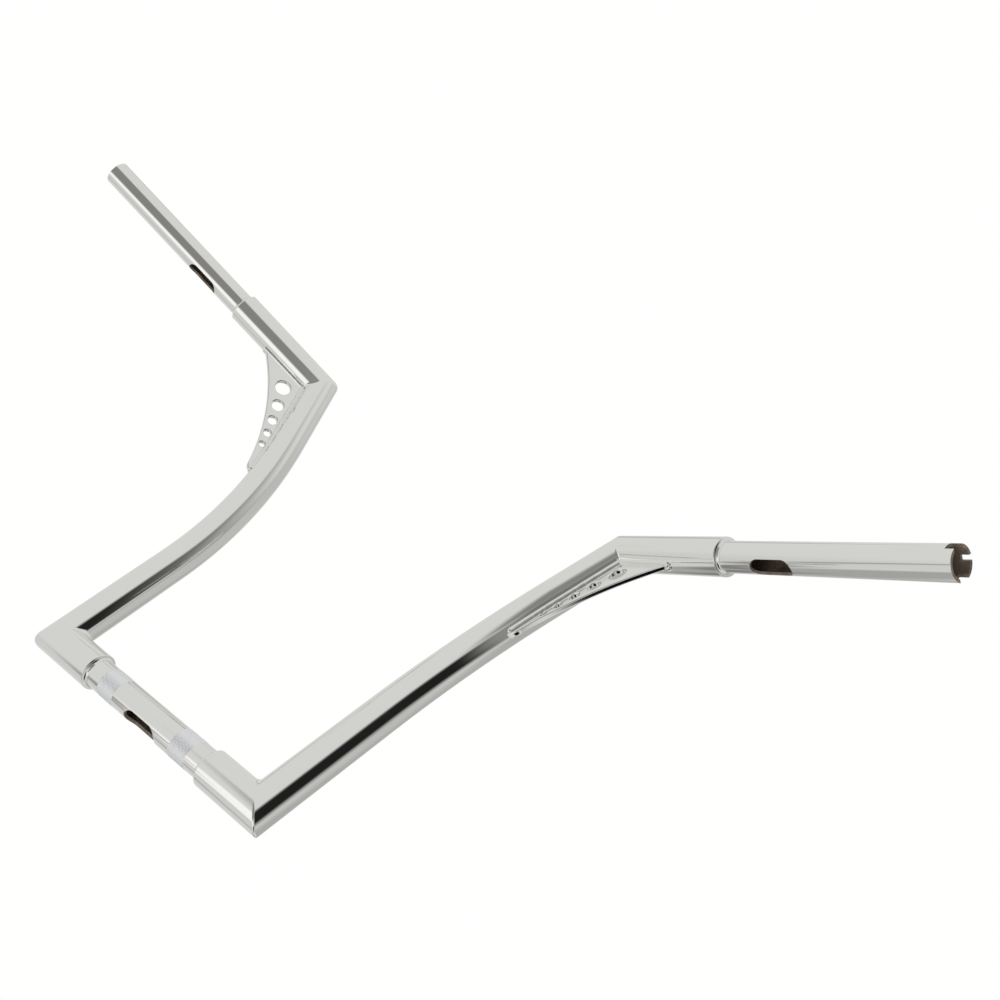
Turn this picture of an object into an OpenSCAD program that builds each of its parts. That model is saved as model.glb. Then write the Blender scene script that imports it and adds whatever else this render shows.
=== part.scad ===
// Ape hanger handlebar: one-inch clamp and grip tubes set in mitred fat tube, welded and chromed.
// +X is the rider's right, +Y is forward and +Z is up. The origin is the centre of the clamp tube.

/* [Clamp tube] */
// Outside diameter of the clamp tube, one inch
clamp_d = 25.4; // [22:0.1:27]
// Wall of the clamp tube
clamp_wall = 2.8; // [2:0.1:4]
// Bare length of the clamp tube between its two sleeves
clamp_bare = 145; // [130:1:180]
// Length of the clamp tube hidden in each sleeve
clamp_insert = 34; // [15:1:36]
// Distance between the middles of the two knurled bands
band_spacing = 92; // [80:1:96]
// Width of each knurled band
band_w = 20; // [12:1:30]
// How far the rolled knurl stands proud of the tube
band_rise = 0.25; // [0.2:0.05:0.5]

/* [Grip tubes] */
// Outside diameter of the grip tubes, one inch
grip_d = 25.4; // [22:0.1:27]
// Wall of the grip tubes
grip_wall = 2.4; // [1.6:0.1:4]
// Bare length of each grip tube outside its sleeve
grip_bare = 195; // [160:1:240]
// Length of each grip tube hidden in its sleeve
grip_insert = 38; // [20:1:60]
// How far the hidden end of each grip tube is turned down, to seat in its sleeve
spigot_step = 0.3; // [0.2:0.05:1]
// Chamfer on the outer edge of each grip end
grip_chamfer = 0.6; // [0.2:0.1:1]

/* [Fat tube] */
// Outside diameter of the sleeves and risers, one and a quarter inches
fat_d = 31.75; // [30:0.05:36]
// Wall of the risers
riser_wall = 3.05; // [2:0.05:4]
// Chamfer on the open rim of each sleeve
rim_chamfer = 0.5; // [0.2:0.1:1]
// Clearance between a sleeve's bore and the tube set in it
slip_gap = 0.1; // [0.02:0.02:0.3]

/* [Shape] */
// Distance between the two lower corners
corner_span = 254; // [245:1:300]
// Angle by which the risers lean outwards
lean_out = 3; // [0:0.5:8]
// Straight length of each riser below its bend
lower_straight = 118; // [60:1:200]
// Radius of the riser's bend, at its centreline
bend_radius = 450; // [250:10:600]
// Angle of the riser's bend
bend_angle = 22.5; // [10:0.5:30]
// Heading of the bend, turned back from straight out
bend_heading = 42; // [30:1:60]
// Thinning of the riser's wall in the bend, on each of its faces
bend_draw = 0.05; // [0.03:0.01:0.15]
// Straight length of each riser above its bend
upper_straight = 76; // [50:1:140]
// Length of each upper sleeve, from the corner
upper_sleeve = 117; // [100:1:160]
// Angle by which the grips sweep back
grip_sweep = 32.4; // [20:0.2:45]
// Angle by which the grips drop
grip_drop = 4.3; // [0:0.1:12]

/* [Wiring slots] */
// Length of the slot in the clamp tube
clamp_slot_l = 39; // [25:1:50]
// Width of the slot in the clamp tube
clamp_slot_w = 19; // [8:0.5:20]
// Length of the slot in each grip tube
grip_slot_l = 38; // [20:1:60]
// Width of the slot in each grip tube
grip_slot_w = 16; // [8:0.5:18]
// Distance from a sleeve's rim to the slot beyond it
grip_slot_gap = 31; // [15:1:60]
// Angle by which the grip slots turn forward from straight down
grip_slot_turn = 10; // [0:1:40]

/* [Throttle end] */
// Depth of the notches for the throttle sensor
notch_depth = 6.5; // [3:0.5:12]
// Width of the two wide notches
wide_notch = 10; // [6:0.5:12]
// Width of the narrow notch between them
narrow_notch = 4; // [2:0.5:6]
// Angle by which the narrow notch turns forward from straight up
notch_turn = 11; // [0:1:40]

/* [Gussets] */
// Thickness of the gusset plates
gusset_t = 4.8; // [3:0.1:8]
// Reach of the plate along the sleeve, from the corner
gusset_reach = 66; // [50:1:95]
// Reach of the plate down the riser, from the corner
gusset_drop = 119.5; // [95:0.5:150]
// Height of the plate's blunt toe above the riser
toe_height = 6; // [3:0.5:10]
// Slope of the toe's end
toe_slope = 50; // [30:5:80]
// Height of the plate's tip above the sleeve
tip_height = 1; // [0.5:0.1:3]
// Radius of the plate's hollow outer edge
hollow_r = 234; // [160:2:400]
// Distance down the riser from the corner to the first hole
first_hole = 22.8; // [20:0.2:30]
// Plate left between one hole and the next
hole_web = 7.6; // [5:0.2:10]
// Diameter of the largest hole
hole_d = 15.5; // [8:0.5:16]
// Number of holes
hole_count = 5; // [2:1:5]
// Size of each hole as a share of the one before it
hole_step = 0.77; // [0.6:0.01:0.85]

/* [Welds] */
// Width of the ground weld between each mitred sleeve and its riser
mitre_gap = 1.6; // [1:0.1:3]
// Length of the weld that ramps from a one-inch tube up to its sleeve
step_weld = 3.2; // [2:0.1:6]
// Radius of the weld beads along the gussets
bead_r = 2.6; // [1.5:0.1:4]

/* [Hidden] */
$fn = 96;
past = 1;
clamp_r = clamp_d / 2;
grip_r = grip_d / 2;
fat_r = fat_d / 2;
riser_bore = fat_r - riser_wall;
lower_bore = clamp_r + slip_gap;
spigot_r = grip_r - spigot_step;
upper_bore = spigot_r + slip_gap;
clamp_half = clamp_bare / 2;
rim_weld_r = fat_r - rim_chamfer;

// The places and directions below are worked out by turning vectors the way the pieces are turned.
function turn_y(v, a) = [v.x * cos(a) + v.z * sin(a), v.y, v.z * cos(a) - v.x * sin(a)];
function turn_z(v, a) = [v.x * cos(a) - v.y * sin(a), v.x * sin(a) + v.y * cos(a), v.z];
foot_at = [corner_span / 2, 0, 0];
bend_top = [bend_radius * (1 - cos(bend_angle)), 0, lower_straight + bend_radius * sin(bend_angle)];
riser_end = bend_top + upper_straight * [sin(bend_angle), 0, cos(bend_angle)];
head_at = foot_at + turn_y(turn_z(riser_end, -bend_heading), lean_out);
grip_way = turn_z(turn_y([0, 0, 1], 90 + grip_drop), -grip_sweep);
// The grip's direction, seen from the top of the riser
grip_seen = turn_y(turn_z(turn_y(grip_way, -lean_out), bend_heading), -bend_angle);
gusset_turn = atan2(grip_seen.y, grip_seen.x);
corner_angle = acos(grip_seen.z);
foot_mitre = (90 + lean_out) / 2;
head_mitre = corner_angle / 2;

// The gusset's plane has the riser along its second axis and the corner at its origin.
along_sleeve = [sin(corner_angle), cos(corner_angle)];
off_sleeve = [cos(corner_angle), -sin(corner_angle)];
function riser_bow(s) = s <= upper_straight ? 0
    : bend_radius - sqrt(pow(bend_radius, 2) - pow(s - upper_straight, 2));
function riser_edge(s) = fat_r + riser_bow(s);
tip = gusset_reach * along_sleeve + (fat_r + tip_height) * off_sleeve;
toe = [riser_edge(gusset_drop) + toe_height, -gusset_drop];
toe_way = [cos(toe_slope), sin(toe_slope)];
chord = tip - toe;
chord_out = [chord.y, -chord.x] / norm(chord);
hollow_at = (tip + toe) / 2 + sqrt(pow(hollow_r, 2) - pow(norm(chord) / 2, 2)) * chord_out;
function hollow_edge(s) = hollow_at.x - sqrt(pow(hollow_r, 2) - pow(hollow_at.y + s, 2));
function hole_size(i) = hole_d * pow(hole_step, i);
function hole_down(i) = i == 0 ? first_hole
    : hole_down(i - 1) + (hole_size(i - 1) + hole_size(i)) / 2 + hole_web;
seam_x = sqrt(pow(fat_r, 2) - pow(gusset_t / 2, 2));
seam_turn = asin(gusset_t / 2 / fat_r);

// Each frame below puts what it holds in its place on the right half of the bar.
// In the tube frames z runs outwards along the tube, x points down and y points forward.
module clamp_frame() { rotate([0, 90, 0]) children(); }
module foot_frame() { translate(foot_at) rotate([0, lean_out, 0]) rotate([0, 0, -bend_heading]) children(); }
module bend_frame() { foot_frame() translate([0, 0, lower_straight]) children(); }
module head_frame() {
    foot_frame() translate(riser_end) rotate([0, bend_angle, 0]) rotate([0, 0, gusset_turn]) children();
}
module sleeve_frame() { head_frame() rotate([0, corner_angle, 0]) children(); }
module grip_frame() { translate(head_at) rotate([0, 0, -grip_sweep]) rotate([0, 90 + grip_drop, 0]) children(); }
module left() { mirror([1, 0, 0]) children(); }

// Everything on one side of a mitre, which is moved back along the riser's side of the corner
module half_space(side) {
    size = 12 * fat_r;
    translate([0, 0, side * size / 2]) cube(size, center = true);
}
module lower_mitre(side, back) {
    translate(foot_at) rotate([0, foot_mitre, 0]) translate([0, 0, back]) half_space(side);
}
module upper_mitre(side, back) {
    head_frame() rotate([0, head_mitre, 0]) translate([0, 0, -back]) half_space(side);
}

module round_tube(r, bore, from, to) {
    rotate_extrude() translate([bore, from]) square([r - bore, to - from]);
}

// Stretches of the fat tubes as solid round bars, which the gussets and their welds are coped to
module bend_sweep(angle) {
    translate([bend_radius, 0, 0]) rotate([90, 0, 0]) rotate([0, 0, 180 - bend_angle])
        rotate_extrude(angle = angle) children();
}
module bend_bar() { bend_frame() bend_sweep(bend_angle) translate([bend_radius, 0]) circle(fat_r - bend_draw); }
module upper_bar(above) {
    head_frame() translate([0, 0, -upper_straight]) cylinder(r = fat_r, h = upper_straight + above);
}
module upper_sleeve_bar() {
    grip_frame() translate([0, 0, -2 * fat_r]) cylinder(r = fat_r, h = upper_sleeve + 2 * fat_r);
}

// A long hole with round ends, through the lower wall of a tube that runs along z
module slot(length, width, tube_r) {
    straight = length - width;
    translate([0, 0, width / 2]) rotate([0, 90, 0]) cylinder(d = width, h = tube_r + past);
    translate([0, 0, width / 2 + straight]) rotate([0, 90, 0]) cylinder(d = width, h = tube_r + past);
    translate([0, -width / 2, width / 2]) cube([tube_r + past, width, straight]);
}

// The clamp tube: a plain one-inch tube with two knurled bands and a slot for the wiring below
module clamp_tube() {
    half = clamp_half + clamp_insert;
    color("gainsboro") clamp_frame() difference() {
        union() {
            translate([0, 0, -half]) cylinder(r = clamp_r, h = 2 * half);
            for (side = [-1, 1])
                translate([0, 0, (side * band_spacing - band_w) / 2]) cylinder(r = clamp_r + band_rise, h = band_w);
        }
        translate([0, 0, -half - past]) cylinder(r = clamp_r - clamp_wall, h = 2 * (half + past));
        translate([0, 0, -clamp_slot_l / 2]) slot(clamp_slot_l, clamp_slot_w, clamp_r);
    }
}

// The lower sleeve: fat tube bored to take the clamp tube, mitred where it meets the riser
module lower_sleeve() {
    color("silver") difference() {
        clamp_frame() rotate_extrude() translate([0, clamp_half]) polygon([
            [lower_bore, 0],
            [fat_r - rim_chamfer, 0],
            [fat_r, rim_chamfer],
            [fat_r, foot_at.x + 2 * fat_r - clamp_half],
            [lower_bore, foot_at.x + 2 * fat_r - clamp_half]
        ]);
        lower_mitre(1, 0);
    }
}

// The riser: straight, bent outwards and back, straight again, and mitred at both ends
module riser() {
    color("lightgray") {
        difference() {
            foot_frame() round_tube(fat_r, riser_bore, -2 * fat_r, lower_straight);
            lower_mitre(-1, mitre_gap);
        }
        bend_frame() bend_sweep(bend_angle) translate([bend_radius, 0]) difference() {
            circle(fat_r - bend_draw);
            circle(riser_bore + bend_draw);
        }
        difference() {
            head_frame() round_tube(fat_r, riser_bore, -upper_straight, 2 * fat_r);
            upper_mitre(1, mitre_gap);
        }
    }
}

// The upper sleeve: fat tube bored to take the grip tube
module upper_sleeve_tube() {
    color("silver") difference() {
        grip_frame() rotate_extrude() polygon([
            [upper_bore, -2 * fat_r],
            [fat_r, -2 * fat_r],
            [fat_r, upper_sleeve - rim_chamfer],
            [fat_r - rim_chamfer, upper_sleeve],
            [upper_bore, upper_sleeve]
        ]);
        upper_mitre(-1, 0);
    }
}

// The grip tube: its turned-down end sits in the sleeve, and its slot lets the wiring in
module grip_tube() {
    from = upper_sleeve - grip_insert;
    shoulder = upper_sleeve + step_weld;
    to = upper_sleeve + grip_bare;
    bore = grip_r - grip_wall;
    grip_frame() difference() {
        rotate_extrude() polygon([
            [bore, from],
            [spigot_r, from],
            [spigot_r, shoulder],
            [grip_r, shoulder],
            [grip_r, to - grip_chamfer],
            [grip_r - grip_chamfer, to],
            [bore, to]
        ]);
        translate([0, 0, upper_sleeve + grip_slot_gap]) rotate([0, 0, grip_slot_turn])
            slot(grip_slot_l, grip_slot_w, grip_r);
    }
}

// The throttle end has three notches, a narrow one near the top and a wide one on each side of it.
module throttle_notches() {
    widths = [wide_notch, narrow_notch, wide_notch];
    grip_frame() translate([0, 0, upper_sleeve + grip_bare - notch_depth])
        for (i = [0:2]) rotate([0, 0, 180 - notch_turn + 90 * (i - 1)])
            translate([0, -widths[i] / 2, 0]) cube([grip_r + past, widths[i], notch_depth + past]);
}
module plain_grip() { color("gainsboro") grip_tube(); }
module notched_grip() {
    color("gainsboro") difference() {
        grip_tube();
        throttle_notches();
    }
}

// The gusset: a plate coped to both tubes, with a hollow outer edge and a row of falling holes
// halfway between that edge and the riser
module gusset_plate(t) {
    toe_in = toe - 16 * toe_way;
    rotate([90, 0, 0]) linear_extrude(t, center = true) polygon([
        [0, 0],
        [0, toe_in.y],
        toe_in,
        toe + 8 * toe_way,
        gusset_reach * along_sleeve + 2 * fat_r * off_sleeve,
        gusset_reach * along_sleeve
    ]);
}
module gusset() {
    color("whitesmoke") difference() {
        head_frame() difference() {
            gusset_plate(gusset_t);
            rotate([90, 0, 0]) translate([hollow_at.x, hollow_at.y, -gusset_t])
                cylinder(r = hollow_r, h = 2 * gusset_t);
            for (i = [0:hole_count - 1])
                translate([(riser_edge(hole_down(i)) + hollow_edge(hole_down(i))) / 2, 0, -hole_down(i)])
                    rotate([90, 0, 0]) cylinder(d = hole_size(i), h = 2 * gusset_t, center = true);
        }
        bend_bar();
        upper_bar(0);
        upper_sleeve_bar();
    }
}

// The gusset's welds: a bead in each corner between the plate and the tubes, on both its faces
module gusset_welds() {
    bead_turn = (gusset_drop - upper_straight) / bend_radius * 180 / PI;
    color("silver") difference() {
        union() {
            for (side = [-1, 1]) {
                head_frame() translate([seam_x, side * gusset_t / 2, -upper_straight])
                    cylinder(r = bead_r, h = upper_straight);
                bend_frame() bend_sweep(bead_turn) translate([bend_radius, 0])
                    rotate(180 + gusset_turn - side * seam_turn) translate([fat_r, 0]) circle(bead_r - bend_draw);
                sleeve_frame() translate([seam_x, side * gusset_t / 2, 0])
                    cylinder(r = bead_r, h = gusset_reach);
            }
        }
        head_frame() cube([4 * gusset_drop, gusset_t, 4 * gusset_drop], center = true);
        bend_bar();
        upper_bar(2 * fat_r);
        upper_sleeve_bar();
    }
}

// The corner welds fill the gap between a riser's end and a sleeve's mitre, ground flush with both.
module lower_corner_weld() {
    color("white") difference() {
        foot_frame() round_tube(fat_r, riser_bore, -2 * fat_r, 2 * fat_r);
        lower_mitre(-1, 0);
        lower_mitre(1, mitre_gap);
    }
}
module upper_corner_weld() {
    color("white") difference() {
        head_frame() round_tube(fat_r, riser_bore, -2 * fat_r, 2 * fat_r);
        upper_mitre(1, 0);
        upper_mitre(-1, mitre_gap);
    }
}

// The step welds ramp from a one-inch tube up to the rim of its sleeve. A grip's weld fills the groove
// between that rim and the shoulder of the grip tube.
module clamp_weld() {
    color("white") clamp_frame() translate([0, 0, clamp_half]) mirror([0, 0, 1])
        rotate_extrude() polygon([[clamp_r, 0], [rim_weld_r, 0], [clamp_r, step_weld]]);
}
module grip_weld() {
    color("white") grip_frame() translate([0, 0, upper_sleeve])
        rotate_extrude() polygon([[spigot_r, 0], [rim_weld_r, 0], [grip_r, step_weld], [spigot_r, step_weld]]);
}

clamp_tube();
left() lower_sleeve();  // left_lower_sleeve
lower_sleeve();  // right_lower_sleeve
left() riser();  // left_riser
riser();  // right_riser
left() upper_sleeve_tube();  // left_upper_sleeve
upper_sleeve_tube();  // right_upper_sleeve
left() plain_grip();  // left_grip_tube
notched_grip();  // right_grip_tube
left() gusset();  // left_gusset
gusset();  // right_gusset
left() clamp_weld();  // left_clamp_weld
clamp_weld();  // right_clamp_weld
left() lower_corner_weld();  // left_lower_corner_weld
lower_corner_weld();  // right_lower_corner_weld
left() upper_corner_weld();  // left_upper_corner_weld
upper_corner_weld();  // right_upper_corner_weld
left() grip_weld();  // left_grip_weld
grip_weld();  // right_grip_weld
left() gusset_welds();  // left_gusset_welds
gusset_welds();  // right_gusset_welds
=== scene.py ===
import bpy
import numpy as np
from mathutils import Matrix


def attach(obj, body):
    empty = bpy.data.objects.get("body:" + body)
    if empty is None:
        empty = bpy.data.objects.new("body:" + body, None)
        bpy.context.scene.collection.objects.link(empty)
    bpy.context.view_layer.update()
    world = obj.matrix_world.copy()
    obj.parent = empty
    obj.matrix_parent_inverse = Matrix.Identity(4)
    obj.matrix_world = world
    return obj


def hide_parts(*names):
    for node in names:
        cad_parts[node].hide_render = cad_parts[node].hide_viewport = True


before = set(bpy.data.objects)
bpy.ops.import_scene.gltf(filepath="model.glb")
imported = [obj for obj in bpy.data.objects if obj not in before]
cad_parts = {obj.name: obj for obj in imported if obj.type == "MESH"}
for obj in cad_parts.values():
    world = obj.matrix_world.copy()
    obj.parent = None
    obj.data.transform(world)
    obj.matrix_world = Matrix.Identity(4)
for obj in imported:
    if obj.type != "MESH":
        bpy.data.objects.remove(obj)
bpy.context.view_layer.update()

# The clamp tube is a one-inch steel tube, drawn, cut and slotted, then polished and chromed.
# The bore is left bare, and has gone brown. The tube runs into a sleeve at each end.
MM = 0.001
ROUND = 96
clamp_r = 12.7 * MM
clamp_bore = clamp_r - 2.8 * MM
clamp_rim = 72.5 * MM
clamp_half = clamp_rim + 34 * MM
clamp_slot = (39 * MM, 19 * MM)


def unit(v):
    """Each vector divided by its own length."""
    v = np.asarray(v, float)
    return v / np.linalg.norm(v, axis=-1, keepdims=True)


class Shade:
    """A socket of a node tree, or the bare tree, on which Python's operators add Math nodes."""

    def __init__(self, tree, socket=None):
        self.tree = tree
        self.socket = socket

    def node(self, kind, sockets=None, settings=None, output=0):
        """Adds a node, sets its settings first and then its sockets, and returns one of its outputs."""
        made = self.tree.nodes.new(kind)
        for name, value in (settings or {}).items():
            if name == "stops":
                ramp = made.color_ramp.elements
                while len(ramp) < len(value):
                    ramp.new(0.5)
                for stop, (place, colour) in zip(ramp, value):
                    stop.position = place
                    stop.color = colour
            else:
                setattr(made, name, value)
        for name, value in (sockets or {}).items():
            if isinstance(value, Shade):
                self.tree.links.new(value.socket, made.inputs[name])
            else:
                made.inputs[name].default_value = value
        return Shade(self.tree, made.outputs[output]) if made.outputs else None

    def maths(self, operation, first, second):
        """One Math node on two numbers or sockets."""
        return self.node("ShaderNodeMath", {0: first, 1: second}, {"operation": operation})

    def __add__(self, other):
        return self.maths("ADD", self, other)

    def __radd__(self, other):
        return self.maths("ADD", other, self)

    def __sub__(self, other):
        return self.maths("SUBTRACT", self, other)

    def __rsub__(self, other):
        return self.maths("SUBTRACT", other, self)

    def __mul__(self, other):
        return self.maths("MULTIPLY", self, other)

    def __rmul__(self, other):
        return self.maths("MULTIPLY", other, self)

    def __truediv__(self, other):
        return self.maths("DIVIDE", self, other)

    def __abs__(self):
        return self.maths("ABSOLUTE", self, 0.0)


def new_material(name):
    """A material with no nodes yet, and the Shade of its tree."""
    material = bpy.data.materials.new(name)
    material.use_nodes = True
    material.node_tree.nodes.clear()
    return material, Shade(material.node_tree)


def chrome(name, colour, rough, patch, grain, ripple):
    """Plated steel: a metal whose roughness drifts in soft patches, over a very shallow polishing ripple."""
    material, tree = new_material(name)
    place = tree.node("ShaderNodeTexCoord", output="Object")
    drift = tree.node("ShaderNodeTexNoise", {"Vector": place, "Scale": patch, "Detail": 3.0})
    fine = tree.node("ShaderNodeTexNoise", {"Vector": place, "Scale": grain, "Detail": 2.0})
    roughness = rough * (0.6 + 0.8 * drift)
    tint = tree.node(
        "ShaderNodeMix",
        {"Factor": drift, "A": tuple(c * 0.96 for c in colour[:3]) + (1.0,), "B": colour},
        {"data_type": "RGBA"},
        output="Result",
    )
    bump = tree.node(
        "ShaderNodeBump", {"Strength": ripple, "Distance": 0.1 * MM, "Height": 0.7 * drift + 0.3 * fine}
    )
    shader = tree.node(
        "ShaderNodeBsdfPrincipled",
        {"Base Color": tint, "Metallic": 1.0, "Roughness": roughness, "Normal": bump},
    )
    tree.node("ShaderNodeOutputMaterial", {"Surface": shader})
    return material


def bare_steel(name, dark, light):
    """Unplated steel inside a tube: dull, brown and blotchy, darker where the scale is thick."""
    material, tree = new_material(name)
    place = tree.node("ShaderNodeTexCoord", output="Object")
    blotch = tree.node("ShaderNodeTexNoise", {"Vector": place, "Scale": 90.0, "Detail": 5.0})
    scale = tree.node("ShaderNodeTexNoise", {"Vector": place, "Scale": 420.0, "Detail": 3.0})
    mixed = 0.65 * blotch + 0.35 * scale
    colour = tree.node(
        "ShaderNodeValToRGB", {"Fac": mixed}, {"stops": [(0.38, dark), (0.62, light)]}
    )
    bump = tree.node("ShaderNodeBump", {"Strength": 0.5, "Distance": 0.2 * MM, "Height": mixed})
    shader = tree.node(
        "ShaderNodeBsdfPrincipled",
        {"Base Color": colour, "Metallic": 0.45, "Roughness": 0.75 - 0.2 * scale, "Normal": bump},
    )
    tree.node("ShaderNodeOutputMaterial", {"Surface": shader})
    return material


tube_chrome = chrome(
    "tube_chrome", (0.915, 0.91, 0.88, 1.0), rough=0.055, patch=30.0, grain=400.0, ripple=0.05
)
bore_steel = bare_steel("bore_steel", (0.21, 0.18, 0.145, 1.0), (0.46, 0.37, 0.29, 1.0))


def make_piece(name, points, faces, materials, nodes, bare=None, normals=None):
    """A closed mesh, turned right side out, which rides on the bar in place of its nodes.

    Faces that are marked bare take the second material.
    """
    points, faces = np.asarray(points).reshape(-1, 3), np.asarray(faces)
    a, b, c, d = (points[faces[:, k]] for k in range(4))
    volume = np.sum(a * np.cross(b, c)) + np.sum(a * np.cross(c, d))
    if volume < 0:
        faces = faces[:, ::-1]
    mesh = bpy.data.meshes.new(name)
    mesh.from_pydata(points, [], faces)
    for material in materials:
        mesh.materials.append(material)
    if bare is not None:
        mesh.polygons.foreach_set("material_index", bare)
    mesh.shade_smooth()
    if normals is not None:
        mesh.normals_split_custom_set_from_vertices(np.asarray(normals).reshape(-1, 3))
    piece = bpy.data.objects.new(name, mesh)
    bpy.context.scene.collection.objects.link(piece)
    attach(piece, "root")
    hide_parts(*nodes)
    return piece


def slotted_sheet(stations, slot_at, slot_size, radius):
    """Flat grid of a tube's wall in (distance along, distance round), with a long hole that has round ends.

    The cells round the hole are replaced by rings, which blend from the block's edge to the hole's edge.
    """
    columns = ROUND
    round_step = 2 * np.pi * radius / columns
    along, turn = np.meshgrid(stations, np.arange(columns) * round_step, indexing="ij")
    flat = np.stack([along, turn], -1).reshape(-1, 2)
    length, width = slot_size
    margin = 2.4 * MM
    first = np.searchsorted(stations, slot_at - length / 2 - margin) - 1
    last = np.searchsorted(stations, slot_at + length / 2 + margin)
    reach = int(np.ceil((width / 2 + margin) / round_step))
    # The cells of a block round the hole are left out
    i, j = np.meshgrid(np.arange(len(stations) - 1), np.arange(columns), indexing="ij")
    signed = (j + columns // 2) % columns - columns // 2
    cut = (i >= first) & (i < last) & (signed >= -reach) & (signed < reach)
    i, j = i[~cut], j[~cut]
    on = (j + 1) % columns
    quads = np.stack([i * columns + j, i * columns + on, (i + 1) * columns + on, (i + 1) * columns + j], -1)
    # The grid points once round the block's edge
    side = np.arange(first, last)
    span = np.arange(-reach, reach)
    edge = np.concatenate([
        np.stack([side, np.full(len(side), -reach)], -1),
        np.stack([np.full(len(span), last), span], -1),
        np.stack([side[::-1] + 1, np.full(len(side), reach)], -1),
        np.stack([np.full(len(span), first), span[::-1] + 1], -1),
    ])
    # Each one's mate on the hole's edge lies towards the hole's middle line
    outer = np.stack([stations[edge[:, 0]] - slot_at, edge[:, 1] * round_step], -1)
    core = np.stack([np.clip(outer[:, 0], (width - length) / 2, (length - width) / 2), 0 * outer[:, 1]], -1)
    hole = core + unit(outer - core) * width / 2
    layers = 4
    blend = (np.arange(1, layers + 1) / layers)[:, None, None]
    rings = (outer + (hole - outer) * blend) + np.array([slot_at, 0])
    ids = np.concatenate([
        (edge[:, 0] * columns + edge[:, 1] % columns)[None],
        len(flat) + np.arange(layers * len(edge)).reshape(layers, -1),
    ])
    step = np.roll(ids, -1, axis=1)
    bridge = np.stack([ids[:-1], ids[1:], step[1:], step[:-1]], -1).reshape(-1, 4)
    return np.concatenate([flat, rings.reshape(-1, 2)]), np.concatenate([quads, bridge])


def wall_from_sheet(along, turns, quads, origin, axes, radii):
    """The sheet rolled at two radii, with a strip of quads along each open edge.

    The axes are the tube's own direction, the one that turns start from, and the one that they turn towards.
    Points that no face uses are dropped. The bore and the cut edges are marked bare.
    """
    way, start, side = axes
    skins = [
        origin + along[:, None] * way + np.broadcast_to(radius, along.shape)[:, None]
        * (np.cos(turn)[:, None] * start + np.sin(turn)[:, None] * side)
        for turn, radius in zip(turns, radii)
    ]
    count = len(along)
    pairs = np.stack([quads, np.roll(quads, -1, axis=1)], -1).reshape(-1, 2)
    free = pairs[~np.isin(pairs[:, 0] * count + pairs[:, 1], pairs[:, 1] * count + pairs[:, 0])]
    rim = np.stack([free[:, 1], free[:, 0], free[:, 0] + count, free[:, 1] + count], -1)
    bare = np.repeat([0, 1, 1], [len(quads), len(quads), len(rim)])
    used, faces = np.unique(np.concatenate([quads, quads[:, ::-1] + count, rim]), return_inverse=True)
    return np.concatenate(skins)[used], faces.reshape(-1, 4), bare


def round_edges(piece, width):
    """A bevel on the sharp edges, as polishing leaves them; the large faces then set the normals."""
    bevel = piece.modifiers.new("rounded", "BEVEL")
    bevel.width = width
    bevel.segments = 3
    bevel.limit_method = "ANGLE"
    bevel.angle_limit = np.radians(40)
    weighted = piece.modifiers.new("weighted", "WEIGHTED_NORMAL")
    weighted.mode = "FACE_AREA"


X, Y, Z = np.eye(3)
slot_field = 26 * MM
clamp_stations = np.concatenate([
    np.linspace(-clamp_half, -slot_field, 30),
    np.linspace(-slot_field, slot_field, 53)[1:-1],
    np.linspace(slot_field, clamp_half, 30),
])
flat, quads = slotted_sheet(clamp_stations, 0.0, clamp_slot, clamp_r)
turn = flat[:, 1] / clamp_r
points, faces, bare = wall_from_sheet(
    flat[:, 0], (turn, turn), quads, np.zeros(3), (X, -Z, Y), (clamp_r, clamp_bore)
)
clamp_tube = make_piece(
    "clamp_tube_polished", points, faces, [tube_chrome, bore_steel], ["clamp_tube"], bare
)
round_edges(clamp_tube, 0.35 * MM)

# The two knurled bands, where the motorcycle's clamps bite, are rolled into the tube before plating.
# Two families of slanting grooves leave rows of small pyramids.
band_at = 46 * MM
band_w = 20 * MM
band_top = 12.95 * MM
band_fade = 0.5 * MM
knurl_pitch = 1.7 * MM
SIDES = ((-1, "left"), (1, "right"))
knurl_chrome = chrome(
    "knurl_chrome", (0.97, 0.98, 1.0, 1.0), rough=0.34, patch=60.0, grain=600.0, ripple=0.1
)


def ring_faces(rows, columns, closed):
    """Quads of a grid of rings. A closed grid joins its last ring to its first."""
    a, b = np.meshgrid(np.arange(rows if closed else rows - 1), np.arange(columns), indexing="ij")
    up, on = (a + 1) % rows, (b + 1) % columns
    quads = [a * columns + b, a * columns + on, up * columns + on, up * columns + b]
    return np.stack(quads, -1).reshape(-1, 4)


def knurl(x, turn):
    """Height from 0 to 1: the lower of two triangle waves, slanting opposite ways round the tube."""
    count = round(2 * np.pi * clamp_r / knurl_pitch)
    around = turn * count / (2 * np.pi)
    waves = [np.abs(2 * ((around + slant * x / knurl_pitch) % 1.0) - 1) for slant in (-1, 1)]
    return np.minimum(*waves)


for side, side_name in SIDES:
    rows, columns = 101, 420
    across = np.linspace(-band_w / 2, band_w / 2, rows)
    x, turn = np.meshgrid(across, np.arange(columns) * 2 * np.pi / columns, indexing="ij")
    fade = np.clip((band_w / 2 - np.abs(x)) / band_fade, 0, 1)
    low = clamp_r - 0.05 * MM
    radius = low + (band_top - low) * fade * (0.3 + 0.7 * knurl(x, turn))
    buried = np.full_like(radius[:1], clamp_r - 0.6 * MM)
    radius = np.concatenate([buried, radius, buried])
    x = np.concatenate([x[:1], x, x[-1:]]) + side * band_at
    turn = np.concatenate([turn[:1], turn, turn[:1]])
    ring = np.stack([x, radius * np.sin(turn), -radius * np.cos(turn)], -1)
    make_piece(
        side_name + "_knurled_band", ring, ring_faces(*x.shape, True), [knurl_chrome],
        ["clamp_tube"],
    )

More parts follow.
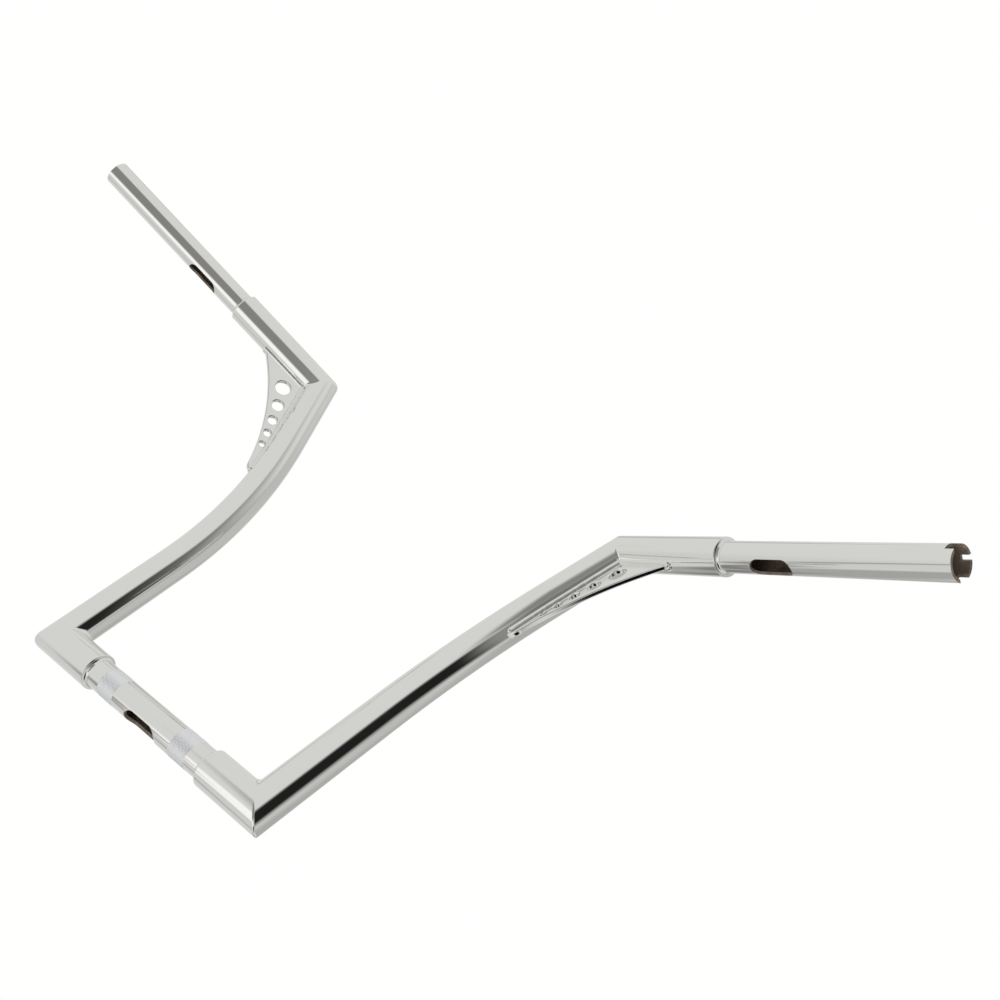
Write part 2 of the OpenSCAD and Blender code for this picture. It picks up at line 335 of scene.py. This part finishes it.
# Each half of the bar is a fat tube: a lower sleeve, a bent riser and an upper sleeve, mitred at two corners.
# The pieces are sawn from 1 1/4 inch tube, welded, ground flush and polished before plating.
fat_r = 15.875 * MM
riser_bore = fat_r - 3.05 * MM
spigot_r = 12.4 * MM
slip = 0.1 * MM
lower_bore = clamp_r + slip
upper_bore = spigot_r + slip
rim_round = 0.5 * MM
clear_of_corner = 30 * MM
upper_sleeve = 117 * MM
corner_span = 254 * MM
foot = np.array([corner_span / 2, 0, 0])
lean_out, bend_angle, bend_heading = np.radians([3.0, 22.5, 42.0])
lower_straight, bend_radius, upper_straight = 118 * MM, 450 * MM, 76 * MM
riser_length = lower_straight + bend_radius * bend_angle + upper_straight
ANGLES = np.arange(ROUND) * 2 * np.pi / ROUND


def placed(v):
    """Vectors of the riser's own frame, turned by the bend's heading about Z and then by the lean about Y."""
    x, y, z = np.moveaxis(np.asarray(v, float), -1, 0)
    headed = x * np.cos(bend_heading) + y * np.sin(bend_heading)
    aside = y * np.cos(bend_heading) - x * np.sin(bend_heading)
    leant = headed * np.cos(lean_out) + z * np.sin(lean_out)
    raised = z * np.cos(lean_out) - headed * np.sin(lean_out)
    return np.stack([leant, aside, raised], -1)


def bent(s):
    """The angle through which the riser has bent at a distance s up it."""
    return np.clip((np.asarray(s, float) - lower_straight) / bend_radius, 0, bend_angle)


def riser_line(s):
    """Centre and direction of the riser at a distance s up it: a straight, an arc and a straight."""
    bend = bent(s)
    above = np.clip(np.asarray(s) - lower_straight - bend_radius * bend_angle, 0, None)
    way = np.stack([np.sin(bend), 0 * bend, np.cos(bend)], -1)
    place = np.stack([
        bend_radius * (1 - np.cos(bend)), 0 * bend, np.minimum(s, lower_straight) + bend_radius * np.sin(bend)
    ], -1)
    return foot + placed(place + above[..., None] * way), placed(way)


def swung(v, angle):
    """A vector turned about the bend's axis by each angle, as the riser's bend turns it."""
    axis, angle = placed(Y), np.asarray(angle)[..., None]
    return v * np.cos(angle) + np.cross(axis, v) * np.sin(angle) + axis * (axis @ v) * (1 - np.cos(angle))


head, head_way = riser_line(riser_length)
foot_way = placed(Z)
sweep, drop = np.radians([32.4, 4.3])
grip_way = np.array([np.cos(drop) * np.cos(sweep), -np.cos(drop) * np.sin(sweep), -np.sin(drop)])


class Corner:
    """A mitred corner, where the first tube ends and the second one starts."""

    def __init__(self, at, first_way, second_way):
        self.at = at
        self.ways = (first_way, second_way)
        self.mitre = unit(first_way + second_way)
        self.across = unit(np.cross(first_way, second_way))
        self.outward = [np.cross(way, self.across) for way in self.ways]

    def radial(self, which):
        """Unit vectors round one tube, from the outside of the corner."""
        return np.cos(ANGLES)[:, None] * self.outward[which] + np.sin(ANGLES)[:, None] * self.across

    def ring(self, which, radius, back):
        """Where the rulings of one tube lie a distance back from the mitre, along the tube."""
        way, radial = self.ways[which], self.radial(which)
        reach = -radius * (radial @ self.mitre) / (way @ self.mitre) + (-back, back)[which]
        return self.at + np.broadcast_to(reach, ANGLES.shape)[:, None] * way + radius * radial


lower_corner = Corner(foot, X, foot_way)
upper_corner = Corner(head, head_way, grip_way)
outside, inside = np.clip(np.cos(ANGLES), 0, 1), np.clip(-np.cos(ANGLES), 0, 1)
lower_back = (1.3 + 0.6 * outside**2 + 4.6 * inside**4) * MM
upper_back = (1.6 + 3.2 * outside**2 + 2.0 * inside**4) * MM


def between(starts, ends, count, normals):
    """A sheet, which is points and their normals: rings that run straight from one ring to another."""
    share = np.linspace(0, 1, count)[:, None, None]
    points = starts + (ends - starts) * share
    return points, np.broadcast_to(normals, points.shape)


def sawn_rim(centre, way, radial, bore):
    """A tube's open end: a quarter round on the outer edge, and then the flat face down to the bore."""
    bend = np.linspace(0, np.pi / 2, 5)[:, None, None]
    normals = np.cos(bend) * radial + np.sin(bend) * way
    edge = centre + (fat_r - rim_round) * radial - rim_round * way + rim_round * normals
    return (edge, normals), between(edge[-1], centre + bore * radial, 2, way)


def shell(name, sheets, side, material, nodes):
    """One mesh of several sheets whose edges meet, each with its own normals, mirrored for the left half."""
    mirror = np.array([side, 1, 1])
    points = np.concatenate([p.reshape(-1, 3) for p, _ in sheets]) * mirror
    normals = np.concatenate([n.reshape(-1, 3) for _, n in sheets]) * mirror
    start, faces = 0, []
    for rows, _ in sheets:
        faces.append(start + ring_faces(*rows.shape[:2], False))
        start += rows.shape[0] * rows.shape[1]
    return make_piece(name, points, np.concatenate(faces), [material], nodes, normals=normals)


for side, side_name in SIDES:
    radial = lower_corner.radial(0)
    rim_round_sheet, rim_face = sawn_rim(np.array([clamp_rim, 0, 0]), -X, radial, lower_bore)
    near = lower_corner.ring(0, fat_r, lower_back)
    bored = lower_corner.ring(0, lower_bore, 0.0)
    shell(side_name + "_lower_sleeve_polished", [
        between(near, rim_round_sheet[0][0], 10, radial),
        rim_round_sheet,
        rim_face,
        between(rim_face[0][-1], bored, 10, -radial),
        between(bored, near, 2, lower_corner.mitre),
    ], side, tube_chrome, [side_name + "_lower_sleeve"])

    # The riser's rings turn with its bend, and twist from the lower corner's outside to the upper corner's.
    stations = np.concatenate([
        np.linspace(clear_of_corner, lower_straight, 8),
        np.linspace(lower_straight, riser_length - upper_straight, 48)[1:],
        np.linspace(riser_length - upper_straight, riser_length - clear_of_corner, 6)[1:],
    ])
    centre, way = riser_line(stations)
    start = swung(lower_corner.outward[1], bent(stations))
    sideways = np.cross(start, way)
    target = upper_corner.outward[0]
    twist = np.arctan2(sideways[-1] @ target, start[-1] @ target) * (bent(stations) / bend_angle)[:, None]
    turned = ANGLES + twist
    radial = np.cos(turned)[..., None] * start[:, None] + np.sin(turned)[..., None] * sideways[:, None]
    low, low_bore = [lower_corner.ring(1, radius, lower_back) for radius in (fat_r, riser_bore)]
    high, high_bore = [upper_corner.ring(0, radius, upper_back) for radius in (fat_r, riser_bore)]
    wall = [
        (
            np.concatenate([first[None], centre[:, None] + radius * radial, last[None]]),
            facing * np.concatenate([radial[:1], radial, radial[-1:]]),
        )
        for first, last, radius, facing in ((low, high, fat_r, 1), (low_bore, high_bore, riser_bore, -1))
    ]
    shell(side_name + "_riser_polished", [
        wall[0],
        between(high, high_bore, 2, upper_corner.mitre),
        (wall[1][0][::-1], wall[1][1][::-1]),
        between(low_bore, low, 2, -lower_corner.mitre),
    ], side, tube_chrome, [side_name + "_riser"])

    radial = upper_corner.radial(1)
    rim_round_sheet, rim_face = sawn_rim(head + upper_sleeve * grip_way, grip_way, radial, upper_bore)
    near = upper_corner.ring(1, fat_r, upper_back)
    bored = upper_corner.ring(1, upper_bore, 0.0)
    shell(side_name + "_upper_sleeve_polished", [
        between(near, rim_round_sheet[0][0], 16, radial),
        rim_round_sheet,
        rim_face,
        between(rim_face[0][-1], bored, 10, -radial),
        between(bored, near, 2, -upper_corner.mitre),
    ], side, tube_chrome, [side_name + "_upper_sleeve"])

# The corners are welded right round, and ground and polished until the two tubes run into each other.
# The upper corner is rounded on its outside, and the lower one is left sharp.
def corner_sheet(corner, back):
    """Quadratic curves from one tube to the other, each with the mitre's edge as its middle point.

    They leave each tube along that tube's own rulings, so the reflections run on without a break.
    """
    t = np.linspace(0, 1, 13)[:, None, None]
    first, edge, last = [corner.ring(which, fat_r, far) for which, far in ((0, back), (0, 0.0), (1, back))]
    points = (1 - t) ** 2 * first + 2 * t * (1 - t) * edge + t**2 * last
    along = (1 - t) * (edge - first) + t * (last - edge)
    round_it = np.roll(points, -1, axis=1) - np.roll(points, 1, axis=1)
    normals = unit(np.cross(along, round_it))
    normals[0], normals[-1] = corner.radial(0), corner.radial(1)
    return points, normals


for side, side_name in SIDES:
    for name, corner, back in (
        ("lower_corner", lower_corner, lower_back),
        ("upper_corner", upper_corner, upper_back),
    ):
        points, normals = corner_sheet(corner, back)
        core = [corner.ring(which, riser_bore, back) for which in (1, 0)]
        shell("_".join((side_name, name, "ground")), [
            (points, normals),
            between(points[-1], core[0], 2, corner.mitre),
            between(core[0], core[1], 2, -corner.radial(0)),
            between(core[1], points[0], 2, -corner.mitre),
        ], side, tube_chrome, ["_".join((side_name, name, "weld"))])

# The grip tubes are one-inch tube, set in the upper sleeves, with a slot below that lets the wiring in.
# The throttle end, on the right, has three sawn notches that hold the throttle sensor.
grip_r = 12.7 * MM
grip_bore = grip_r - 2.4 * MM
step_weld = 3.2 * MM
grip_from = upper_sleeve - 38 * MM
grip_shoulder = upper_sleeve + step_weld
grip_to = upper_sleeve + 195 * MM
grip_slot_at = 167 * MM
grip_slot = (38 * MM, 16 * MM)
grip_field = 24 * MM
notch_depth = 6.5 * MM
notches = ((69.0, 10 * MM), (159.0, 4 * MM), (249.0, 10 * MM))
notch_ease_from, notch_ease = 200 * MM, 95 * MM
slot_turn = np.radians(10)
down = np.array([-np.sin(drop) * np.cos(sweep), np.sin(drop) * np.sin(sweep), -np.cos(drop)])
forward = np.cross(grip_way, down)
slot_way = np.cos(slot_turn) * down + np.sin(slot_turn) * forward
slot_side = np.cross(grip_way, slot_way)


def half_turn(width, radius):
    """Half the angle, in degrees, that a notch of some width takes up on a circle."""
    return np.degrees(np.arcsin(width / 2 / radius))


def notched(along, turn, radius):
    """Turns moved near the tube's end, so that columns of the grid lie on the flat sides of the notches."""
    columns = np.arange(ROUND + 1) * 360 / ROUND
    exact = columns.copy()
    for centre, width in notches:
        for edge in (-1, 1):
            nearest = np.argmin(np.abs(columns - centre - edge * half_turn(width, grip_r)))
            exact[nearest] = centre + edge * half_turn(width, radius)
    fixed = np.concatenate([[0], np.flatnonzero(exact != columns), [ROUND]])
    moved = np.interp(columns, columns[fixed], exact[fixed])
    share = np.clip((along - notch_ease_from) / notch_ease, 0, 1)
    return turn + share * (np.radians(np.interp(np.degrees(turn), columns, moved)) - turn)


for side, side_name in SIDES:
    low, high = grip_slot_at - grip_field, grip_slot_at + grip_field
    stations = np.concatenate([
        np.linspace(grip_from, grip_shoulder - 0.1 * MM, 8),
        [grip_shoulder],
        np.linspace(grip_shoulder + 2 * MM, low - 1 * MM, 10),
        np.linspace(low, high, 49),
        np.linspace(high + 2 * MM, grip_to - notch_depth, 40),
        np.linspace(grip_to - notch_depth, grip_to, 5)[1:],
    ])
    flat, quads = slotted_sheet(stations, grip_slot_at, grip_slot, grip_r)
    along, turn = flat[:, 0], flat[:, 1] / grip_r
    turns = [turn, turn]
    if side > 0:
        turns = [notched(along, turn % (2 * np.pi), radius) for radius in (grip_r, grip_bore)]
        corner_turns = np.degrees(turns[0][quads])
        middle = (corner_turns[:, 0] + (corner_turns[:, 2] - corner_turns[:, 0] + 180) % 360 / 2 - 90) % 360
        at_end = along[quads].mean(axis=1) > grip_to - notch_depth
        sawn = [
            np.abs((middle - centre + 180) % 360 - 180) < half_turn(width, grip_r)
            for centre, width in notches
        ]
        quads = quads[~(at_end & np.any(sawn, axis=0))]
    radius = np.where(along < grip_shoulder, spigot_r, grip_r)
    points, faces, bare = wall_from_sheet(
        along, turns, quads, head, (grip_way, slot_way, slot_side), (radius, grip_bore)
    )
    grip = make_piece(
        side_name + "_grip_tube_polished", points * np.array([side, 1, 1]), faces,
        [tube_chrome, bore_steel], [side_name + "_grip_tube"], bare,
    )
    round_edges(grip, 0.4 * MM)

# Where a one-inch tube enters its sleeve, a weld fills the step. It is filed to a hollow ramp and plated.
step_lip = 0.5 * MM
weld_chrome = chrome(
    "weld_chrome", (0.88, 0.88, 0.86, 1.0), rough=0.14, patch=260.0, grain=1500.0, ripple=0.6
)


def step_sheets(centre, way, radial, thin_r):
    """A ring whose outline falls in a hollow curve from the sleeve's rim to the thinner tube."""
    t = np.linspace(0, 1, 11)[:, None, None]
    rim_r = fat_r - rim_round
    reach = 2 * t * (1 - t) * step_lip + t**2 * step_weld
    radius = (1 - t) ** 2 * rim_r + (1 - (1 - t) ** 2) * thin_r
    points = centre + reach * way + radius * radial
    rise = 2 * (1 - t) * (rim_r - thin_r)
    run = 2 * (1 - 2 * t) * step_lip + 2 * t * step_weld
    normals = unit(rise * way + run * radial)
    deep = centre + (thin_r - 0.5 * MM) * radial
    return [
        (points, normals),
        between(points[-1], deep + step_weld * way, 2, way),
        between(deep + step_weld * way, deep, 2, -radial),
        between(deep, points[0], 2, -way),
    ]


for side, side_name in SIDES:
    for end_name, centre, way, radial, thin_r in (
        ("clamp", np.array([clamp_rim, 0, 0]), -X, lower_corner.radial(0), clamp_r),
        ("grip", head + upper_sleeve * grip_way, grip_way, upper_corner.radial(1), grip_r),
    ):
        shell(
            "_".join((side_name, end_name, "step")), step_sheets(centre, way, radial, thin_r),
            side, weld_chrome, ["_".join((side_name, end_name, "weld"))],
        )

# A gusset stiffens each upper corner: a plate with a hollow outer edge and five falling holes.
# It is cut from sheet steel, coped to both tubes, rounded along its edges and welded on both faces.
gusset_t = 4.8 * MM
gusset_round = 1.25 * MM
gusset_reach, gusset_drop = 66 * MM, 119.5 * MM
toe_height, toe_slope, tip_height = 6 * MM, np.radians(50), 1 * MM
hollow_r = 234 * MM
hole_count, hole_fall, hole_web = 5, 0.77, 7.6 * MM
holes = [(22.8 * MM, 15.5 * MM)]
while len(holes) < hole_count:
    last_at, last_size = holes[-1]
    size = last_size * hole_fall
    holes.append((last_at + (last_size + size) / 2 + hole_web, size))
inner_way = -upper_corner.outward[0]
gusset_angle = np.arccos(head_way @ grip_way)
along_sleeve = np.array([np.sin(gusset_angle), np.cos(gusset_angle)])
off_sleeve = np.array([np.cos(gusset_angle), -np.sin(gusset_angle)])
gusset_chrome = chrome(
    "gusset_chrome", (0.91, 0.905, 0.88, 1.0), rough=0.1, patch=40.0, grain=500.0, ripple=0.12
)


def bow(s):
    """How far the bend carries the riser from the line of its upper straight, a distance s below the top."""
    s = np.clip(np.asarray(s, float), upper_straight, None) - upper_straight
    return bend_radius - np.sqrt(bend_radius**2 - s**2)


tip = gusset_reach * along_sleeve + (fat_r + tip_height) * off_sleeve
toe = np.array([fat_r + bow(gusset_drop) + toe_height, -gusset_drop])
chord = tip - toe
chord_out = np.array([chord[1], -chord[0]]) / np.linalg.norm(chord)
hollow_at = (tip + toe) / 2 + np.sqrt(hollow_r**2 - (chord @ chord) / 4) * chord_out


def hollow_edge(s):
    """How far the plate's hollow edge lies from the same line, a distance s below the top."""
    return hollow_at[0] - np.sqrt(hollow_r**2 - (hollow_at[1] + s) ** 2)


def circle_points(centre, radius, start, end, count):
    """Points along an arc of a circle."""
    angle = np.linspace(start, end, count)
    return np.asarray(centre) + radius * np.stack([np.cos(angle), np.sin(angle)], -1)


# The edges that meet the tubes are sunk a little into them, under the welds.
sunk = fat_r - 1.6 * MM
down_riser = np.linspace(sunk * np.tan(gusset_angle / 2), gusset_drop + 5.5 * MM, 30)
toe_way = np.array([np.cos(toe_slope), np.sin(toe_slope)])
toe_turn, tip_turn = [np.arctan2(*(p - hollow_at)[::-1]) % (2 * np.pi) for p in (toe, tip)]
outline = np.concatenate([
    np.stack([sunk + bow(down_riser), -down_riser], -1),
    [toe - 1.2 * toe_height / np.cos(toe_slope) * toe_way],
    [toe - 1.5 * MM * toe_way],
    circle_points(hollow_at, hollow_r, toe_turn, tip_turn, 60)[1:],
    [gusset_reach * along_sleeve + sunk * off_sleeve],
])
cuts = []
for below, size in holes:
    middle = (fat_r + bow(below) + hollow_edge(below)) / 2
    cuts.append(circle_points((middle, -below), size / 2, 0, 2 * np.pi, 49)[:-1])

for side, side_name in SIDES:
    curve = bpy.data.curves.new(side_name + "_gusset_outline", "CURVE")
    curve.dimensions = "2D"
    curve.fill_mode = "BOTH"
    curve.bevel_depth = gusset_round
    curve.bevel_resolution = 4
    curve.offset = -gusset_round
    curve.extrude = gusset_t / 2 - gusset_round
    for path in (outline, *cuts):
        spline = curve.splines.new("POLY")
        spline.points.add(len(path) - 1)
        spline.points.foreach_set("co", np.pad(path, ((0, 0), (0, 2))).ravel())
        spline.use_cyclic_u = True
    drawn = bpy.data.objects.new(side_name + "_gusset_outline", curve)
    mesh = bpy.data.meshes.new_from_object(drawn)
    bpy.data.objects.remove(drawn)
    axes = np.stack([inner_way, head_way, np.cross(inner_way, head_way)], -1)
    placing = Matrix.Translation(head) @ Matrix(axes).to_4x4()
    mesh.transform(Matrix.Diagonal((side, 1, 1, 1)) @ placing)
    if side < 0:
        mesh.flip_normals()
    mesh.materials.clear()
    mesh.materials.append(gusset_chrome)
    mesh.shade_smooth()
    plate = bpy.data.objects.new(side_name + "_gusset_plate", mesh)
    bpy.context.scene.collection.objects.link(plate)
    merged = plate.modifiers.new("merged", "WELD")
    merged.merge_threshold = 0.02 * MM
    weighted = plate.modifiers.new("weighted", "WEIGHTED_NORMAL")
    weighted.mode = "FACE_AREA"
    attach(plate, "root")
    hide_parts(side_name + "_gusset")

# A bead of weld runs along each edge of each gusset, on both faces of the plate, and past the plate's ends.
# It is plated as it was laid, so it shows the ripples of the torch.
bead_r = 2.6 * MM
bead_swell, bead_bed = 1.42, 0.38
bead_pitch = 2.1 * MM
seam_turn = np.arcsin(gusset_t / 2 / fat_r)
meet = fat_r * np.cos(seam_turn) * np.tan(gusset_angle / 2)


def bead(line, inward, outward):
    """A round bar swept along a seam of the plate and a fat tube, and bedded in the corner between them.

    The line is the tube's centre line. Inward points from it into the plate, and outward along its normal.
    The bar's ends are drawn in, and its size follows the ripples, which are scalloped like overlapping coins.
    """
    seam = line + fat_r * (np.cos(seam_turn) * inward + np.sin(seam_turn) * outward)
    distance = np.concatenate([[0], np.cumsum(np.linalg.norm(np.diff(seam, axis=0), axis=1))])
    spread = np.random.default_rng(5).normal(size=40)
    drift = np.interp(distance, np.linspace(0, distance[-1], 40), spread)
    ripple = np.abs(np.sin(np.pi * distance / bead_pitch + 0.6 * drift)) - 0.6
    left = np.minimum(distance, distance[-1] - distance) / bead_r
    cap = np.sqrt(np.clip(1 - (1 - np.clip(left, 0, 1)) ** 2, 0.0004, 1))
    scale = bead_r * cap * (1 + 0.01 * ripple + 0.015 * drift)
    angle = np.linspace(0, 2 * np.pi, 21)[:-1]
    middle = seam - bead_bed * scale[:, None] * (inward + outward)
    spoke = np.cos(angle)[:, None] * inward[:, None] + np.sin(angle)[:, None] * outward[:, None]
    return middle[:, None] + bead_swell * scale[:, None, None] * spoke


def closed_sweep(rows):
    """Quads over the rings of a sweep, and over both its ends, which have shrunk to almost nothing."""
    columns = rows.shape[1]
    k = np.arange(columns // 2 - 1)
    end = np.stack([k, k + 1, columns - 2 - k, columns - 1 - k], -1)
    last = (len(rows) - 1) * columns
    return np.concatenate([ring_faces(*rows.shape[:2], False), end[:, ::-1], end + last])


for side, side_name in SIDES:
    for face, face_name in ((-1, "front"), (1, "back")):
        s = riser_length - np.linspace(meet - 1.5 * MM, gusset_drop + 7 * MM, 500)
        centre, way = riser_line(s)
        inward = swung(inner_way, bent(s) - bend_angle)
        riser_bead = bead(centre, inward, face * np.cross(way, inward))
        u = np.linspace(meet - 1.5 * MM, gusset_reach + 3 * MM, 280)[:, None]
        inward = np.broadcast_to(-upper_corner.outward[1], (len(u), 3))
        outward = np.broadcast_to(face * upper_corner.across, (len(u), 3))
        sleeve_bead = bead(head + u * grip_way, inward, outward)
        for rows, place in ((riser_bead, "riser"), (sleeve_bead, "sleeve")):
            make_piece(
                "_".join((side_name, place, "bead", face_name)), rows * np.array([side, 1, 1]),
                closed_sweep(rows), [weld_chrome], [side_name + "_gusset_welds"],
            )

# The studio: a pale floor well below the bar, out of the picture, and walls that the chrome reflects.
# The walls are pale, with a dark doorway behind the camera and a grey screen beside it.
# The camera sees the floor a little brighter than it is, so that it is near the white behind the bar.
floor_z, floor_half = -0.6, 30.0
floor_material, tree = new_material("studio_floor")
pale = tree.node("ShaderNodeBsdfPrincipled", {
    "Base Color": (0.86, 0.86, 0.85, 1.0),
    "Roughness": 0.8,
    "Emission Color": (1.0, 1.0, 0.99, 1.0),
    "Emission Strength": 0.36 * tree.node("ShaderNodeLightPath", output="Is Camera Ray"),
})
tree.node("ShaderNodeOutputMaterial", {"Surface": pale})
floor_mesh = bpy.data.meshes.new("studio_floor")
corners = floor_half * np.array([(-1, -1), (1, -1), (1, 1), (-1, 1)])
floor_mesh.from_pydata([(x, y, floor_z) for x, y in corners], [], [(0, 1, 2, 3)])
floor_mesh.materials.append(floor_material)
floor = bpy.data.objects.new("studio_floor", floor_mesh)
floor.visible_glossy = False
bpy.context.scene.collection.objects.link(floor)

world = bpy.data.worlds.new("studio")
world.use_nodes = True
world.node_tree.nodes.clear()
tree = Shade(world.node_tree)
direction = tree.node("ShaderNodeTexCoord", output="Generated")
apart = tree.node("ShaderNodeSeparateXYZ", {"Vector": direction})
east, north, height = (Shade(tree.tree, apart.socket.node.outputs[k]) for k in range(3))
elevation = tree.node("ShaderNodeMath", {0: height}, {"operation": "ARCSINE"}) * (180 / np.pi)


def light(tone):
    """The linear strength that displays as a tone, which is a share of white over 0.04."""
    return ((tone + 0.055) / 1.055) ** 2.4


def mask(distance, reach, soft):
    """1 within a reach of the middle and 0 beyond it, with an edge that is soft both ways."""
    return tree.node(
        "ShaderNodeMapRange",
        {"Value": distance, "From Min": reach + soft, "From Max": reach - soft},
        {"interpolation_type": "SMOOTHSTEP"},
    )


def azimuth_from(middle):
    """Degrees round from a compass direction, from -180 to 180."""
    c, s = float(np.cos(np.radians(middle))), float(np.sin(np.radians(middle)))
    return tree.maths("ARCTAN2", east * c - north * s, east * s + north * c) * (180 / np.pi)


def card(under, tone, across, up, soft=(6, 5), rise=0.0):
    """One soft-edged card over what is under it, between two compass directions and two heights, in degrees.

    A card with a rise is slanted: it climbs by that many degrees for each degree round.
    """
    middle, level = sum(across) / 2, sum(up) / 2
    turned = azimuth_from(middle)
    beside = mask(abs(turned), across[1] - middle, soft[0])
    above = mask(abs(elevation - level - rise * turned), up[1] - level, soft[1])
    return under + beside * above * (light(tone) - under)


# Pale walls all round, and on them what the tubes pick up as streaks, from the widest to the narrowest.
glow = light(0.83)
# The right-hand wall, away from the lamps, with a bench along it and a post beside the bench
glow = card(glow, 0.73, (-12, 100), (12, 57), (14, 9))
glow = card(glow, 0.67, (-5, 75), (0, 20), (12, 6), -0.3)
glow = card(glow, 0.64, (-28, 2), (-55, 12), (5, 8))
# The floor in the shade of the far wall
glow = card(glow, 0.80, (-95, -30), (-80, -22), (12, 8))
# A doorway behind the camera: its frame, its step, the dark opening, and the dark floor below the step
glow = card(glow, 0.60, (82, 150), (-22, 36), (8, 8), -0.1)
glow = card(glow, 0.45, (105, 158), (-22, -4), (8, 5))
glow = card(glow, 0.12, (93, 147), (1, 26), (8, 6))
glow = card(glow, 0.06, (40, 110), (-75, -34), (8, 8))
# A grey screen, with white paper on the floor before it, whose front edge is lit
glow = card(glow, 0.51, (155, 212), (-58, 2), (7, 6), -0.1)
glow = card(glow, 0.97, (140, 245), (-100, -62), (10, 3))
glow = card(glow, 0.97, (-140, -95), (-57, -46), (6, 3), -0.3)
# A pipe under the ceiling
glow = card(glow, 0.68, (-92, -58), (44, 51), (6, 4), -0.2)
# The lamp's black cable, down the post and along the floor
glow = card(glow, 0.50, (-12, -7), (-14, 12), (2, 3))
glow = card(glow, 0.50, (-36, -13), (-34, -29), (2, 2), 1.0)
glow = card(glow, 0.57, (-112, -36), (-49, -46), (3, 2), 0.12)
# Chrome gives back about nine tenths of what it sees, and the tones above are those that it should show.
chrome_gives_back = 0.92
glow = glow / chrome_gives_back
camera_sees = tree.node("ShaderNodeLightPath", output="Is Camera Ray")
strength = glow + camera_sees * (1.0 - glow)
backdrop = tree.node("ShaderNodeBackground", {"Color": (1.0, 1.0, 0.995, 1.0), "Strength": strength})
tree.node("ShaderNodeOutputWorld", {"Surface": backdrop})
bpy.context.scene.world = world
bpy.context.scene.view_settings.view_transform = "Standard"

# The camera stands low on the rider's side, to the right of the bar, and looks up at it.
# It is rolled by more than half a right angle, so that the bar slants across the picture.
camera = bpy.data.objects.new("camera", bpy.data.cameras.new("camera"))
camera.data.sensor_width = 36
camera.data.lens = 39.51
looks_from = np.array([0.5617, -0.6831, -0.2441])
looks_at = np.array([0.1148, -0.1070, 0.2836])
roll = np.radians(53.35)
ahead = unit(looks_at - looks_from)
level = unit(np.cross(ahead, Z))
right = np.cos(roll) * level + np.sin(roll) * np.cross(level, ahead)
facing = Matrix(np.stack([right, np.cross(right, ahead), -ahead], -1)).to_4x4()
camera.matrix_world = Matrix.Translation(looks_from) @ facing
bpy.context.scene.collection.objects.link(camera)
bpy.context.scene.camera = camera
